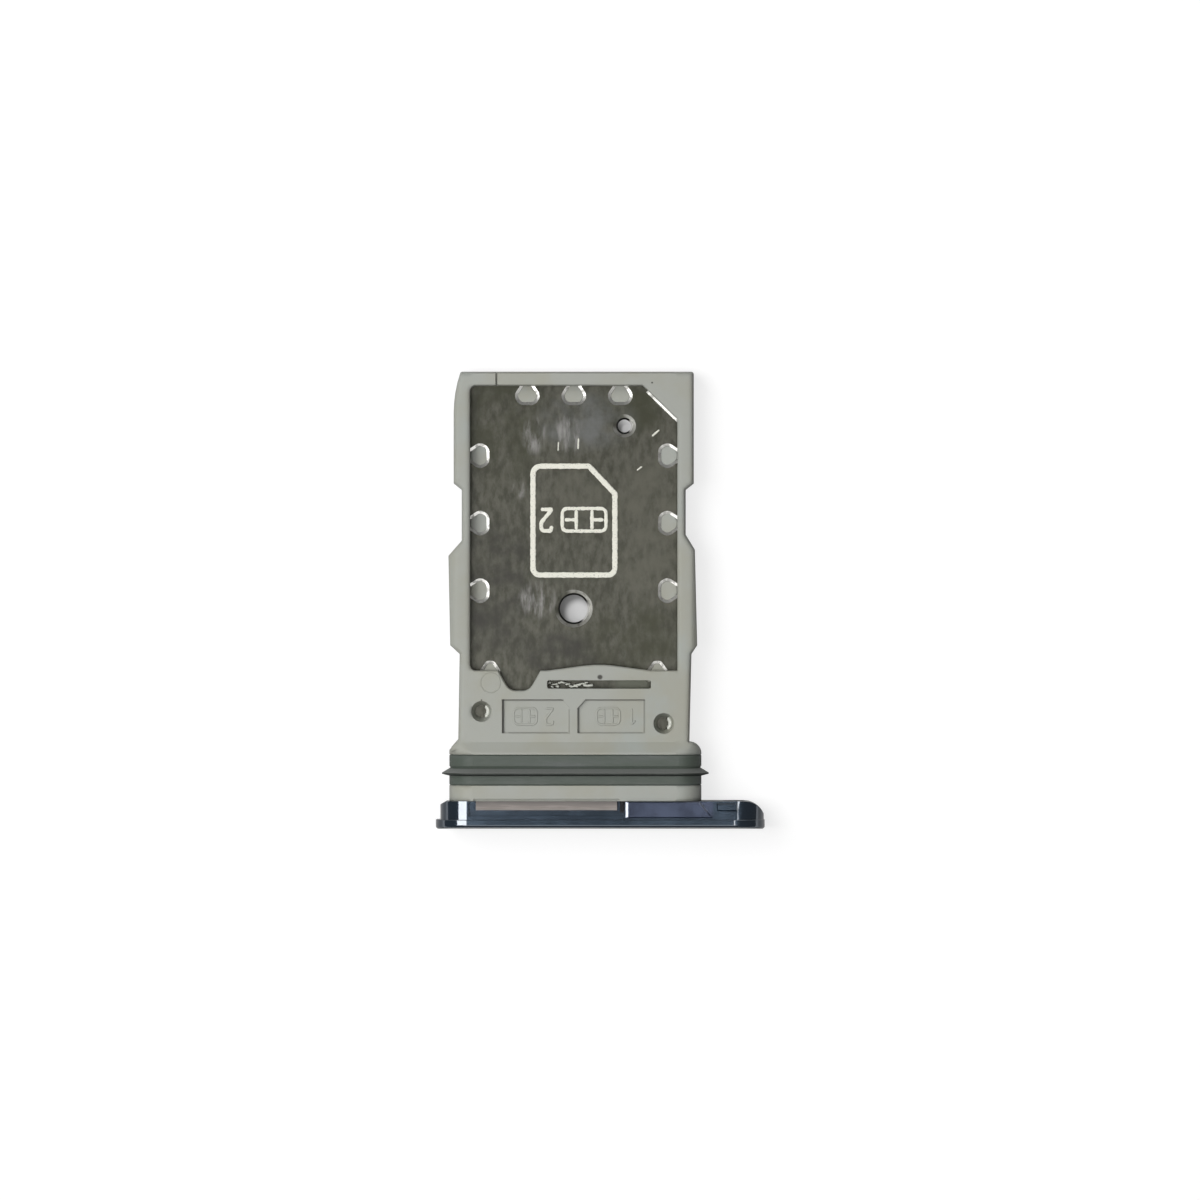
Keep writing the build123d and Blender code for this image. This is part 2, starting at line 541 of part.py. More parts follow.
# Face plate: the flange, the narrower band behind it with its recesses and lands, and the ejector hole
with BuildPart() as face_plate:
    with BuildSketch(Plane.XZ.offset(-FLANGE_THICK)):
        with Locations(((BAND_LEFT + BAND_RIGHT) / 2, 0)):
            SlotOverall(BAND_RIGHT - BAND_LEFT, 2 * BAND_TOP)
    extrude(amount=-BAND_THICK)
    for side in UPPER_AND_LOWER:
        with BuildSketch(Plane.XY.offset(side * RECESS_TOP)):
            with Locations((RECESS_LEFT, RECESS_FRONT)):
                Rectangle(RECESS_LENGTH, FACE_BACK - RECESS_FRONT, align=Align.MIN)
        extrude(amount=side * RECESS_DEPTH, mode=Mode.SUBTRACT)
        with BuildSketch(Plane.XY.offset(side * RECESS_TOP)):
            Polygon(
                (RECESS_RIGHT, LAND_FRONT),
                (LAND_RIGHT, LAND_FRONT),
                (LAND_RIGHT - LAND_SLANT, FACE_BACK),
                (RECESS_RIGHT, FACE_BACK),
                align=None,
            )
            with Locations((END_LAND_LEFT, FACE_BACK - END_LAND_BACK_GAP)):
                Rectangle(END_LAND_LENGTH, END_LAND_WIDTH, align=(Align.MIN, Align.MAX))
        extrude(amount=side * (LAND_TOP - RECESS_TOP))
        land_tops = face_plate.faces().filter_by(Axis.Z).group_by(Axis.Z)[-1 if side > 0 else 0]
        left_edge = land_tops.edges().sort_by(Axis.X)[0]
        chamfer(land_tops.edges() - [left_edge], LAND_EDGE)
        land_tops = face_plate.faces().filter_by(Axis.Z).group_by(Axis.Z)[-1 if side > 0 else 0]
        left_edge = land_tops.edges().sort_by(Axis.X)[0]
        chamfer(left_edge, LAND_LEFT_ROLL_RUN, LAND_LEFT_ROLL, reference=land_tops.sort_by(Axis.X)[0])
    add(flange.part)
    with BuildSketch():
        end_curve = (FACE_RIGHT - END_CURVE_ACROSS, FACE_BACK - END_CURVE_ALONG)
        with BuildLine():
            corner = EllipticalCenterArc(
                end_curve,
                END_CURVE_ACROSS + END_CURVE_MARGIN,
                END_CURVE_ALONG,
                arc_size=90,
            )
            Polyline(
                corner @ 1,
                (BAND_LEFT + BAND_CORNER_ACROSS, FACE_BACK),
                (BAND_LEFT, FACE_BACK - BAND_CORNER_ALONG),
                (FACE_LEFT - BAND_INSET, FACE_BACK - BAND_CORNER_ALONG),
                (FACE_LEFT - BAND_INSET, -FLANGE_THICK),
                (FACE_RIGHT + END_CURVE_MARGIN, -FLANGE_THICK),
                corner @ 0,
            )
        make_face()
    extrude(amount=2 * FLANGE_TOP, both=True, mode=Mode.INTERSECT)
    with Locations(Plane((EJECT_HOLE_ACROSS, 0, 0), x_dir=(1, 0, 0), z_dir=(0, -1, 0))):
        CounterSinkHole(EJECT_HOLE_RADIUS, EJECT_HOLE_RADIUS + EJECT_HOLE_SINK)
face_plate.part.label = "face_plate"

os.makedirs("parts", exist_ok=True)
for piece in (tray_frame, card_plate, seal_ring, face_plate):
    export_step(piece.part, f"parts/{piece.part.label}.step")
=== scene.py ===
"""Looks of a two-sided card tray of a phone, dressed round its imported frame.

The tray lies flat: +Y runs to its tip, +X to the ejector hole, +Z up. Sizes are in millimetres here and are
turned into the frame's metres where a mesh, a lamp or the camera is placed.
"""
from math import atan2, pi, tan

import bmesh
import bpy
import numpy as np
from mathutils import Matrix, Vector


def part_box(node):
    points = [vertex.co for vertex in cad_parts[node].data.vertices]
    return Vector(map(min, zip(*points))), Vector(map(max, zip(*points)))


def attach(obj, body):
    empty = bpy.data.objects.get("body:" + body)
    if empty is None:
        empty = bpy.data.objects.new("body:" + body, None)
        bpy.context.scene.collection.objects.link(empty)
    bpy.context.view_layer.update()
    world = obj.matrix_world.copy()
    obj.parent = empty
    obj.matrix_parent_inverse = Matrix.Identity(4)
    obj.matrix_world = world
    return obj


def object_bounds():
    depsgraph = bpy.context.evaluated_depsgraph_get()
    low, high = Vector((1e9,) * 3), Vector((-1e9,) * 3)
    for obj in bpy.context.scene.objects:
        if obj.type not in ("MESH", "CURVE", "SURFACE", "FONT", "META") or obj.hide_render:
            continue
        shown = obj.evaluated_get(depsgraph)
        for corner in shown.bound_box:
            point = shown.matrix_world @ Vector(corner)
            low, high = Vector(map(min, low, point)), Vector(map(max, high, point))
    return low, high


MM = 0.001

# View: straight down on the tray, which fills the middle of a square picture
VIEW_MIDDLE = (1.14, 9.944)
VIEW_WIDTH = 52.17
VIEW_DISTANCE = 300.0
SENSOR_WIDTH = 36.0

# Heights of the plate's upper face, of the panel's and of the signs' floors
PLATE_FACE = 0.1
PANEL_FACE = 0.8
SIGN_FLOOR = 0.65

# Finishes, and painted light and shade, as linear colours
PLASTIC_COLOUR = (0.37, 0.38, 0.345, 1)
PLASTIC_WARM = (0.355, 0.355, 0.30, 1)
PLASTIC_COOL = (0.36, 0.385, 0.36, 1)
# The tongues' darker, warmer tone is partly painted shade of the recess they sit in
PLASTIC_TONGUE = (0.225, 0.2, 0.183, 1)
PLASTIC_TONGUE_STREAK = (0.3, 0.265, 0.245, 1)
# Painted shadow at the tongues' back, where they meet the neck
PLASTIC_TONGUE_SHADOW = (0.125, 0.112, 0.105, 1)
# Dark specks, and painted shade along the edges of the signs' recesses
PLASTIC_DIRT_AND_SHADE = (0.05, 0.048, 0.04, 1)
# Pale thin plastic, partly a painted highlight
FLASH_COLOUR_AND_HIGHLIGHT = (0.66, 0.67, 0.61, 1)
STEEL_FACE = (0.08, 0.078, 0.06, 1)
STEEL_STAIN = (0.033, 0.033, 0.021, 1)
STEEL_SCUFF = (0.22, 0.215, 0.205, 1)
STEEL_OLIVE = (0.033, 0.034, 0.017, 1)
STEEL_BROWN = (0.025, 0.024, 0.018, 1)
STEEL_PALE = (0.082, 0.08, 0.06, 1)
STEEL_DUST = (0.085, 0.09, 0.066, 1)
STEEL_GREY = (0.11, 0.113, 0.108, 1)
STEEL_EDGE = (0.85, 0.84, 0.80, 1)
# Painted shade on the steep walls of the plate's holes
STEEL_BORE_SHADE = (0.018, 0.018, 0.016, 1)
RUBBER_COLOUR = (0.075, 0.092, 0.076, 1)
RUBBER_BLOOM = (0.1, 0.112, 0.106, 1)
# Painted light on the slope behind the seal lip's crest
RUBBER_LIT_SLOPE = (0.18, 0.19, 0.18, 1)
# Painted shade on the steep front of the seal's lip
RUBBER_PAINTED_SHADE = (0.03, 0.035, 0.03, 1)
NAVY_COLOUR = (0.018, 0.034, 0.055, 1)
NAVY_LAND = (0.04, 0.053, 0.092, 1)
# Painted shade in the gap at the left end of the face plate's land
NAVY_GAP_SHADE = (0.002, 0.003, 0.006, 1)
ETCH_COLOUR = (0.85, 0.84, 0.74, 1)

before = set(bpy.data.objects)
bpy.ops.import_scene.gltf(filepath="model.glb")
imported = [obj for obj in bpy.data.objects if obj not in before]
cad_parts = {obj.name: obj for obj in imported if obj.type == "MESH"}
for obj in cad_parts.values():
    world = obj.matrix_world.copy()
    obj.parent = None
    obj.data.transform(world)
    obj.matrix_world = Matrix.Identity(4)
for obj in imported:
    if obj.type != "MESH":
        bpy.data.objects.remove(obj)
cad_low, cad_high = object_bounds()
tray_middle = (cad_low + cad_high) / 2


def new_object(name, data):
    """New object, placed in the scene."""
    made = bpy.data.objects.new(name, data)
    bpy.context.scene.collection.objects.link(made)
    return made


# Shader building

# Noise of the clouding, share of a soft spot that is full, and width of a box's soft edge
CLOUD_DETAIL = 5.0
CLOUD_ROUGHNESS = 0.6
SPOT_CORE = 0.45
BOX_SOFT = 0.03
# Heights of the fine relief between which the roughness changes
GRAIN_HEIGHTS = (0.2, 0.8)


def connect(tree, socket, value):
    """Links a node's output to an input, or writes a plain value there."""
    if isinstance(value, bpy.types.NodeSocket):
        tree.links.new(value, socket)
    else:
        socket.default_value = value


def add(tree, kind, inputs=None, **options):
    """Adds a node with its options set and its named inputs filled."""
    made = tree.nodes.new(kind)
    for name, value in options.items():
        setattr(made, name, value)
    for name, value in (inputs or {}).items():
        connect(tree, made.inputs[name], value)
    return made


def calc(tree, operation, first, second=0.0):
    """One arithmetic step on two values."""
    made = add(tree, "ShaderNodeMath", operation=operation)
    connect(tree, made.inputs[0], first)
    connect(tree, made.inputs[1], second)
    return made.outputs[0]


def calc_vector(tree, operation, first, second):
    """One arithmetic step on two vectors."""
    made = add(tree, "ShaderNodeVectorMath", operation=operation)
    connect(tree, made.inputs[0], first)
    connect(tree, made.inputs[1], second)
    return made.outputs["Vector"]


def apart(tree, vector):
    """The X, Y and Z of a vector."""
    return add(tree, "ShaderNodeSeparateXYZ", {"Vector": vector}).outputs


def rise(tree, value, low, high, bottom=0.0, top=1.0):
    """Smooth step of a value from bottom at low to top at high."""
    inputs = {"Value": value, "From Min": low, "From Max": high, "To Min": bottom, "To Max": top}
    return add(tree, "ShaderNodeMapRange", inputs, interpolation_type="SMOOTHSTEP").outputs["Result"]


def blend(tree, factor, first, second):
    """Mix of two colours."""
    made = add(tree, "ShaderNodeMix", data_type="RGBA")
    connect(tree, made.inputs[0], factor)
    connect(tree, made.inputs[6], first)
    connect(tree, made.inputs[7], second)
    return made.outputs[2]


def new_group(name, inputs, outputs):
    """Empty shader group with named sockets, given as name: kind."""
    tree = bpy.data.node_groups.new(name, "ShaderNodeTree")
    for socket, kind in inputs.items():
        tree.interface.new_socket(socket, in_out="INPUT", socket_type="NodeSocket" + kind)
    for socket, kind in outputs.items():
        tree.interface.new_socket(socket, in_out="OUTPUT", socket_type="NodeSocket" + kind)
    return tree, tree.nodes.new("NodeGroupInput").outputs, tree.nodes.new("NodeGroupOutput").inputs


def use(tree, group, **inputs):
    """Places a group in a material with its own values and gives its outputs."""
    made = tree.nodes.new("ShaderNodeGroup")
    made.node_tree = group
    for name, value in inputs.items():
        connect(tree, made.inputs[name], value)
    return made.outputs


def place_in_mm(tree):
    """Object coordinates in millimetres."""
    place = add(tree, "ShaderNodeTexCoord").outputs["Object"]
    scaled = add(tree, "ShaderNodeVectorMath", {"Vector": place}, operation="SCALE")
    scaled.inputs["Scale"].default_value = 1 / MM
    return scaled.outputs["Vector"]


def stretched_place(tree, given):
    """Place in millimetres, turned and stretched as a group's inputs say."""
    inputs = {"Vector": place_in_mm(tree), "Rotation": given["Turn"], "Scale": given["Stretch"]}
    return add(tree, "ShaderNodeMapping", inputs).outputs["Vector"]


def make_grain_group():
    """Fine relief: stretched noise, put out as a height from 0 to 1 and as the normal that it gives."""
    inputs = {"Bumps": "Float", "Stretch": "Vector", "Turn": "Vector", "Detail": "Float", "Depth": "Float"}
    inputs["Surface"] = "Vector"
    tree, given, result = new_group("fine_grain", inputs, {"Height": "Float", "Normal": "Vector"})
    inputs = {"Vector": stretched_place(tree, given), "Scale": given["Bumps"], "Detail": given["Detail"]}
    height = add(tree, "ShaderNodeTexNoise", inputs).outputs["Fac"]
    distance = calc(tree, "MULTIPLY", given["Depth"], MM)
    inputs = {"Height": height, "Distance": distance, "Normal": given["Surface"]}
    relief = add(tree, "ShaderNodeBump", inputs)
    connect(tree, result["Height"], height)
    connect(tree, result["Normal"], relief.outputs["Normal"])
    return tree


def make_cloud_group():
    """Uneven colour: noise turned into a mask from 0 under Low to 1 over High."""
    inputs = {"Bumps": "Float", "Stretch": "Vector", "Turn": "Vector", "Low": "Float", "High": "Float"}
    tree, given, result = new_group("clouding", inputs, {"Mask": "Float"})
    inputs = {"Vector": stretched_place(tree, given), "Scale": given["Bumps"]}
    inputs.update({"Detail": CLOUD_DETAIL, "Roughness": CLOUD_ROUGHNESS})
    level = add(tree, "ShaderNodeTexNoise", inputs).outputs["Fac"]
    connect(tree, result["Mask"], rise(tree, level, given["Low"], given["High"]))
    return tree


def make_spot_group():
    """Soft oval patch seen from above: 1 in its middle, 0 beyond its half size."""
    inputs = {"Middle": "Vector", "Half": "Vector"}
    tree, given, result = new_group("soft_spot", inputs, {"Mask": "Float"})
    away = calc_vector(tree, "SUBTRACT", place_in_mm(tree), given["Middle"])
    share = calc_vector(tree, "DIVIDE", away, given["Half"])
    length = add(tree, "ShaderNodeVectorMath", {"Vector": share}, operation="LENGTH").outputs["Value"]
    connect(tree, result["Mask"], rise(tree, length, 1.0, SPOT_CORE))
    return tree


def make_box_group():
    """Rectangular patch seen from above: 1 inside, 0 beyond its half size, with a short soft edge."""
    inputs = {"Middle": "Vector", "Half": "Vector"}
    tree, given, result = new_group("soft_box", inputs, {"Mask": "Float"})
    away = calc_vector(tree, "SUBTRACT", place_in_mm(tree), given["Middle"])
    size = add(tree, "ShaderNodeVectorMath", {"Vector": away}, operation="ABSOLUTE").outputs["Vector"]
    short = apart(tree, calc_vector(tree, "SUBTRACT", given["Half"], size))
    inside = calc(tree, "MINIMUM", short["X"], short["Y"])
    connect(tree, result["Mask"], rise(tree, inside, 0.0, BOX_SOFT))
    return tree


# Stretch and turn of noise that is alike in all directions, and a half height that reaches past the tray
EVEN = (1.0, 1.0, 1.0)
UNTURNED = (0.0, 0.0, 0.0)
ANY_HEIGHT = 1000.0
FINE_GRAIN = make_grain_group()
CLOUDING = make_cloud_group()
SOFT_SPOT = make_spot_group()
SOFT_BOX = make_box_group()


def grain(tree, bumps, depth, detail, stretch=EVEN, surface=None):
    """Height and normal of fine relief with so many bumps to the millimetre."""
    surface = surface or add(tree, "ShaderNodeNewGeometry").outputs["Normal"]
    values = {"Bumps": bumps, "Stretch": stretch, "Turn": UNTURNED, "Detail": detail, "Depth": depth}
    return use(tree, FINE_GRAIN, **values, Surface=surface)


def set_relief(tree, shader, texture, smooth, rough):
    """Gives a shader fine relief that is smooth in its dips and rough on its bumps."""
    roughness = rise(tree, texture["Height"], *GRAIN_HEIGHTS, smooth, rough)
    connect(tree, shader.inputs["Roughness"], roughness)
    connect(tree, shader.inputs["Normal"], texture["Normal"])


def clouds(tree, bumps, low, high, stretch=EVEN, turn=UNTURNED):
    """Mask of uneven colour with so many patches to the millimetre."""
    return use(tree, CLOUDING, Bumps=bumps, Stretch=stretch, Turn=turn, Low=low, High=high)["Mask"]


def spot(tree, across, along, half_across, half_along):
    """Mask of a soft oval patch."""
    half = (half_across, half_along, ANY_HEIGHT)
    return use(tree, SOFT_SPOT, Middle=(across, along, 0.0), Half=half)["Mask"]


def box(tree, across, along, half_across, half_along):
    """Mask of a rectangular patch."""
    half = (half_across, half_along, ANY_HEIGHT)
    return use(tree, SOFT_BOX, Middle=(across, along, 0.0), Half=half)["Mask"]


def new_material(name):
    """New material, its node tree and its main shader."""
    material = bpy.data.materials.new(name)
    material.use_nodes = True
    tree = material.node_tree
    return material, tree, tree.nodes["Principled BSDF"]


# Finishes, some with painted light and shade

# Uneven colour: patches to the millimetre, and the noise levels at which a patch begins and is full
WARM_CLOUDS = (0.35, 0.42, 0.68)
COOL_CLOUDS = (0.22, 0.5, 0.7)
TONGUE_STREAKS = (1.1, 0.42, 0.62)
STAIN_CLOUDS = (2.2, 0.3, 0.7)
MOTTLE_CLOUDS = (0.8, 0.3, 0.7)
SCUFF_STREAKS = (1.0, 0.42, 0.72)
WORN_CLOUDS = (3.0, 0.35, 0.55)
BLOOM_CLOUDS = (0.7, 0.45, 0.75)
HAZE_CLOUDS = (1.2, 0.3, 0.8)
# How such patches are squeezed along X, Y and Z, and how the cool ones are turned
TONGUE_STRETCH = (0.6, 9.0, 1.0)
STREAK_STRETCH = (3.6, 0.9, 1.0)
STAIN_STRETCH = (1.7, 0.8, 1.0)
BLOOM_STRETCH = (0.35, 2.5, 0.35)
COOL_TURN = (0.4, 0.2, 1.0)
# Fine relief: bumps to the millimetre, depth, and detail of the noise
PLASTIC_GRAIN = (20.0, 0.0022, 4.0)
THIN_GRAIN = (12.0, 0.003, 4.0)
STEEL_GRAIN = (9.0, 0.0012, 6.0)
ETCH_GRAIN = (16.0, 0.004, 5.0)
RUBBER_GRAIN = (9.0, 0.002, 4.0)
RUBBER_STRETCH = (0.25, 1.6, 0.25)
# Roughness, from the smooth places to the rough ones
PLASTIC_ROUGH = (0.42, 0.58)
THIN_ROUGH = (0.3, 0.45)
STEEL_ROUGH = (0.28, 0.42)
ETCH_ROUGH = (0.5, 0.7)
RUBBER_ROUGH = (0.46, 0.6)
NAVY_ROUGH = (0.16, 0.26)
# Heights of the relief between which a bump shows a second colour
THIN_BUMPS = (0.55, 0.8)
ETCH_BUMPS = (0.55, 0.85)

# Dark specks on the plastic: place across, place along, half sizes
PLASTIC_SPECKS = (
    (1.14, 6.60, 0.15, 0.14),
    (-4.0, 5.60, 0.05, 0.05),
    (3.40, 19.37, 0.06, 0.05),
)
# Yellowed patch of the panel: place across, place along, half sizes
PLASTIC_YELLOWED = (3.6, 5.4, 2.6, 3.2)
# Painted shade along the edges of the recesses of the panel's two signs, deepest on their left and top:
# place across, place along, half sizes, depth of colour
SIGN_EDGE_SHADE = (
    (-3.065, 4.9, 0.07, 0.75, 0.7),
    (-1.78, 5.6, 1.36, 0.05, 0.55),
    (-1.55, 4.19, 1.3, 0.045, 0.3),
    (-0.2, 4.7, 0.045, 0.52, 0.3),
    (0.205, 4.72, 0.06, 0.56, 0.6),
    (1.8, 5.6, 1.3, 0.05, 0.5),
    (1.6, 4.19, 1.4, 0.045, 0.25),
    (3.06, 4.9, 0.05, 0.72, 0.4),
)
# Where the tongues end at the neck, how far the painted shadow at their back reaches from there, and how
# softly they end
TONGUE_BACK = 1.24
TONGUE_SHADOW_REACH = 0.3
TONGUE_END_SOFT = 0.05
# How far the worn edges of the side rails and of the rest look rounded, and where across the rails begin
RAIL_SOFT = 0.34
INNER_SOFT = 0.04
RAIL_MIDDLE = (4.35, 4.55)
BEVEL_SAMPLES = 8
PLASTIC_IOR = 1.5


def make_plastic():
    """Pale moulded plastic: cloudy grey-green with a fine spark-eroded grain, darker and warmer on the
    tongues, partly as painted shade, with a painted shadow at their back, and painted shade along the edges
    of the signs' recesses.
    """
    material, tree, shader = new_material("moulded_plastic")
    warm = calc(tree, "MAXIMUM", clouds(tree, *WARM_CLOUDS), spot(tree, *PLASTIC_YELLOWED))
    cool = clouds(tree, *COOL_CLOUDS, turn=COOL_TURN)
    colour = blend(tree, warm, PLASTIC_COLOUR, PLASTIC_WARM)
    colour = blend(tree, cool, colour, PLASTIC_COOL)
    position = apart(tree, place_in_mm(tree))
    along = position["Y"]
    # The tongues' colour, darker than the frame's partly as painted shade
    streaks = clouds(tree, *TONGUE_STREAKS, TONGUE_STRETCH)
    tongue = blend(tree, streaks, PLASTIC_TONGUE, PLASTIC_TONGUE_STREAK)
    # Painted shadow, darkest at the tongues' back by the neck
    shade = rise(tree, along, TONGUE_BACK - TONGUE_SHADOW_REACH, TONGUE_BACK)
    tongue = blend(tree, shade, tongue, PLASTIC_TONGUE_SHADOW)
    ahead = rise(tree, along, TONGUE_BACK, TONGUE_BACK - TONGUE_END_SOFT)
    colour = blend(tree, ahead, colour, tongue)
    upper = rise(tree, position["Z"], 0.0, PLATE_FACE)
    for patch in PLASTIC_SPECKS:
        colour = blend(tree, calc(tree, "MULTIPLY", spot(tree, *patch), upper), colour, PLASTIC_DIRT_AND_SHADE)
    # Painted shade along the edges of the signs' recesses
    for *patch, depth in SIGN_EDGE_SHADE:
        edge_shade = calc(tree, "MULTIPLY", box(tree, *patch), calc(tree, "MULTIPLY", upper, depth))
        colour = blend(tree, edge_shade, colour, PLASTIC_DIRT_AND_SHADE)
    outer = rise(tree, calc(tree, "ABSOLUTE", position["X"]), *RAIL_MIDDLE)
    soft = calc(tree, "MULTIPLY", rise(tree, outer, 0.0, 1.0, INNER_SOFT, RAIL_SOFT), MM)
    edges = add(tree, "ShaderNodeBevel", {"Radius": soft}, samples=BEVEL_SAMPLES).outputs["Normal"]
    shader.inputs["IOR"].default_value = PLASTIC_IOR
    connect(tree, shader.inputs["Base Color"], colour)
    set_relief(tree, shader, grain(tree, *PLASTIC_GRAIN, surface=edges), *PLASTIC_ROUGH)
    return material


def make_pale_plastic():
    """Plastic squeezed out thin: paler and smoother than the frame, with a fine uneven grain; its pale
    colour is partly a painted highlight, most of all on the crescents in the cups.
    """
    material, tree, shader = new_material("thin_plastic")
    texture = grain(tree, *THIN_GRAIN)
    shade = rise(tree, texture["Height"], *THIN_BUMPS)
    connect(tree, shader.inputs["Base Color"], blend(tree, shade, FLASH_COLOUR_AND_HIGHLIGHT, PLASTIC_COLOUR))
    set_relief(tree, shader, texture, *THIN_ROUGH)
    return material


# Scuffed patches of the plate: place across, place along, half sizes, turn of the streaks
PLATE_SCUFFS = (
    (-1.72, 17.1, 0.66, 1.0, 0.05),
    (-0.25, 17.15, 0.8, 1.05, -0.12),
    (-2.35, 14.75, 0.4, 0.5, 0.3),
    (-1.6, 9.95, 1.0, 1.0, 0.15),
)
# Painted highlights on the slope round each hole, and painted shade where its bright edge is taken off:
# places and half sizes
HOLE_HIGHLIGHTS = ((0.66, 9.3, 0.42, 0.7), (2.56, 17.5, 0.26, 0.42))
HOLE_EDGE_SHADES = ((-0.5, 9.85, 0.75, 0.8), (1.92, 17.75, 0.5, 0.5))
# Large uneven patches of the plate: colour, place across, place along, half sizes
PLATE_PATCHES = (
    (STEEL_OLIVE, -3.2, 17.6, 2.4, 3.4),
    (STEEL_OLIVE, 2.6, 18.3, 2.2, 1.4),
    (STEEL_BROWN, -3.4, 10.6, 2.2, 3.6),
    (STEEL_BROWN, -0.6, 7.6, 2.4, 1.2),
    (STEEL_PALE, 3.2, 13.0, 2.0, 4.6),
    (STEEL_PALE, 0.2, 14.6, 1.6, 1.3),
    (STEEL_OLIVE, 2.6, 8.2, 2.6, 2.0),
    (STEEL_GREY, 0.5, 17.7, 2.6, 1.5),
)
# Dust on the floor of the slit: place across, place along, half sizes
SLIT_DUST = (2.5, 6.28, 1.0, 0.5)
# How far a surface faces up or down, from 0 for a wall to 1 for a flat one: where the rolled edge begins
# beside the flat, where it ends beside a hole's wall, and where that wall turns dark
ROLL_BEGINS = (0.992, 0.972)
ROLL_ENDS = (0.75, 0.88)
BORE_SHADE_BEGINS = (0.9, 0.82)
# How metallic the plate's dull film looks, and how bright its rolled edge still is where it is most worn
DULL_METAL = 0.45
WORN_EDGE = 0.45


def make_steel():
    """Dark stainless sheet: mottled and scuffed on its faces, bright where the punch rolled its edges, with
    painted highlights and painted shade on the slopes round its holes, and their steep walls painted dark
    as shade.
    """
    material, tree, shader = new_material("punched_steel")
    colour = blend(tree, clouds(tree, *STAIN_CLOUDS, STAIN_STRETCH), STEEL_FACE, STEEL_STAIN)
    mottle = clouds(tree, *MOTTLE_CLOUDS)
    for shade, *patch in PLATE_PATCHES:
        colour = blend(tree, calc(tree, "MULTIPLY", spot(tree, *patch), mottle), colour, shade)
    upper = rise(tree, apart(tree, place_in_mm(tree))["Z"], 0.0, PLATE_FACE)
    for *patch, turn in PLATE_SCUFFS:
        streaks = clouds(tree, *SCUFF_STREAKS, STREAK_STRETCH, (0.0, 0.0, turn))
        worn = calc(tree, "MULTIPLY", streaks, calc(tree, "MULTIPLY", spot(tree, *patch), upper))
        colour = blend(tree, worn, colour, STEEL_SCUFF)
    colour = blend(tree, spot(tree, *SLIT_DUST), colour, STEEL_DUST)
    normal = add(tree, "ShaderNodeNewGeometry").outputs["Normal"]
    flatness = calc(tree, "ABSOLUTE", apart(tree, normal)["Z"])
    sloping = rise(tree, flatness, *ROLL_BEGINS)
    edge = calc(tree, "MULTIPLY", sloping, rise(tree, flatness, *ROLL_ENDS))
    wear = rise(tree, clouds(tree, *WORN_CLOUDS), 0.0, 1.0, WORN_EDGE, 1.0)
    edge = calc(tree, "MULTIPLY", edge, wear)
    # Painted shade: the bright edge is taken off to the upper left of each hole
    for patch in HOLE_EDGE_SHADES:
        edge = calc(tree, "MULTIPLY", edge, rise(tree, spot(tree, *patch), 1.0, 0.0))
    # Painted shade: the holes' steep walls are made near-black
    colour = blend(tree, rise(tree, flatness, *BORE_SHADE_BEGINS), colour, STEEL_BORE_SHADE)
    # Painted highlights on the slope to the right of each hole
    painted_highlight = calc(tree, "MAXIMUM", *(spot(tree, *patch) for patch in HOLE_HIGHLIGHTS))
    painted_highlight = calc(tree, "MULTIPLY", painted_highlight, sloping)
    bright = calc(tree, "MAXIMUM", edge, painted_highlight)
    bare = calc(tree, "SUBTRACT", edge, painted_highlight)
    connect(tree, shader.inputs["Base Color"], blend(tree, bright, colour, STEEL_EDGE))
    connect(tree, shader.inputs["Metallic"], rise(tree, bare, 0.0, 1.0, DULL_METAL, 1.0))
    set_relief(tree, shader, grain(tree, *STEEL_GRAIN), *STEEL_ROUGH)
    return material


def make_etching():
    """Frosted off-white surface where a beam has marked the steel; on the plate's nicks it paints their
    glint.
    """
    material, tree, shader = new_material("etched_steel")
    texture = grain(tree, *ETCH_GRAIN)
    dull = rise(tree, texture["Height"], *ETCH_BUMPS)
    connect(tree, shader.inputs["Base Color"], blend(tree, dull, ETCH_COLOUR, STEEL_SCUFF))
    set_relief(tree, shader, texture, *ETCH_ROUGH)
    return material


# The seal's lip: the foot of its steep front, its crest and the foot of the slope behind it
LIP_FRONT = 2.34
LIP_CREST = 2.44
LIP_FOOT = 2.66
# How softly the painted light on the slope and the painted shade on the steep front begin and end there
CREST_SOFT = 0.02
FOOT_SOFT = 0.06


def make_rubber():
    """Dark green-grey rubber with a faint bloom and fine lines round the ring, painted light on the slope
    behind its lip's crest and painted shade on the lip's steep front.
    """
    material, tree, shader = new_material("seal_rubber_finish")
    bloom = clouds(tree, *BLOOM_CLOUDS, BLOOM_STRETCH)
    colour = blend(tree, bloom, RUBBER_COLOUR, RUBBER_BLOOM)
    along = apart(tree, place_in_mm(tree))["Y"]
    behind_crest = rise(tree, along, LIP_CREST - CREST_SOFT, LIP_CREST + CREST_SOFT)
    before_foot = rise(tree, along, LIP_FOOT, LIP_FOOT - FOOT_SOFT)
    # Painted light on the slope behind the lip's crest
    lit_slope = calc(tree, "MULTIPLY", behind_crest, before_foot)
    colour = blend(tree, lit_slope, colour, RUBBER_LIT_SLOPE)
    before_crest = rise(tree, behind_crest, 1.0, 0.0)
    behind_front = rise(tree, along, LIP_FRONT - FOOT_SOFT, LIP_FRONT)
    # Painted shade on the lip's steep front
    front_shade = calc(tree, "MULTIPLY", behind_front, before_crest)
    connect(tree, shader.inputs["Base Color"], blend(tree, front_shade, colour, RUBBER_PAINTED_SHADE))
    set_relief(tree, shader, grain(tree, *RUBBER_GRAIN, RUBBER_STRETCH), *RUBBER_ROUGH)
    return material


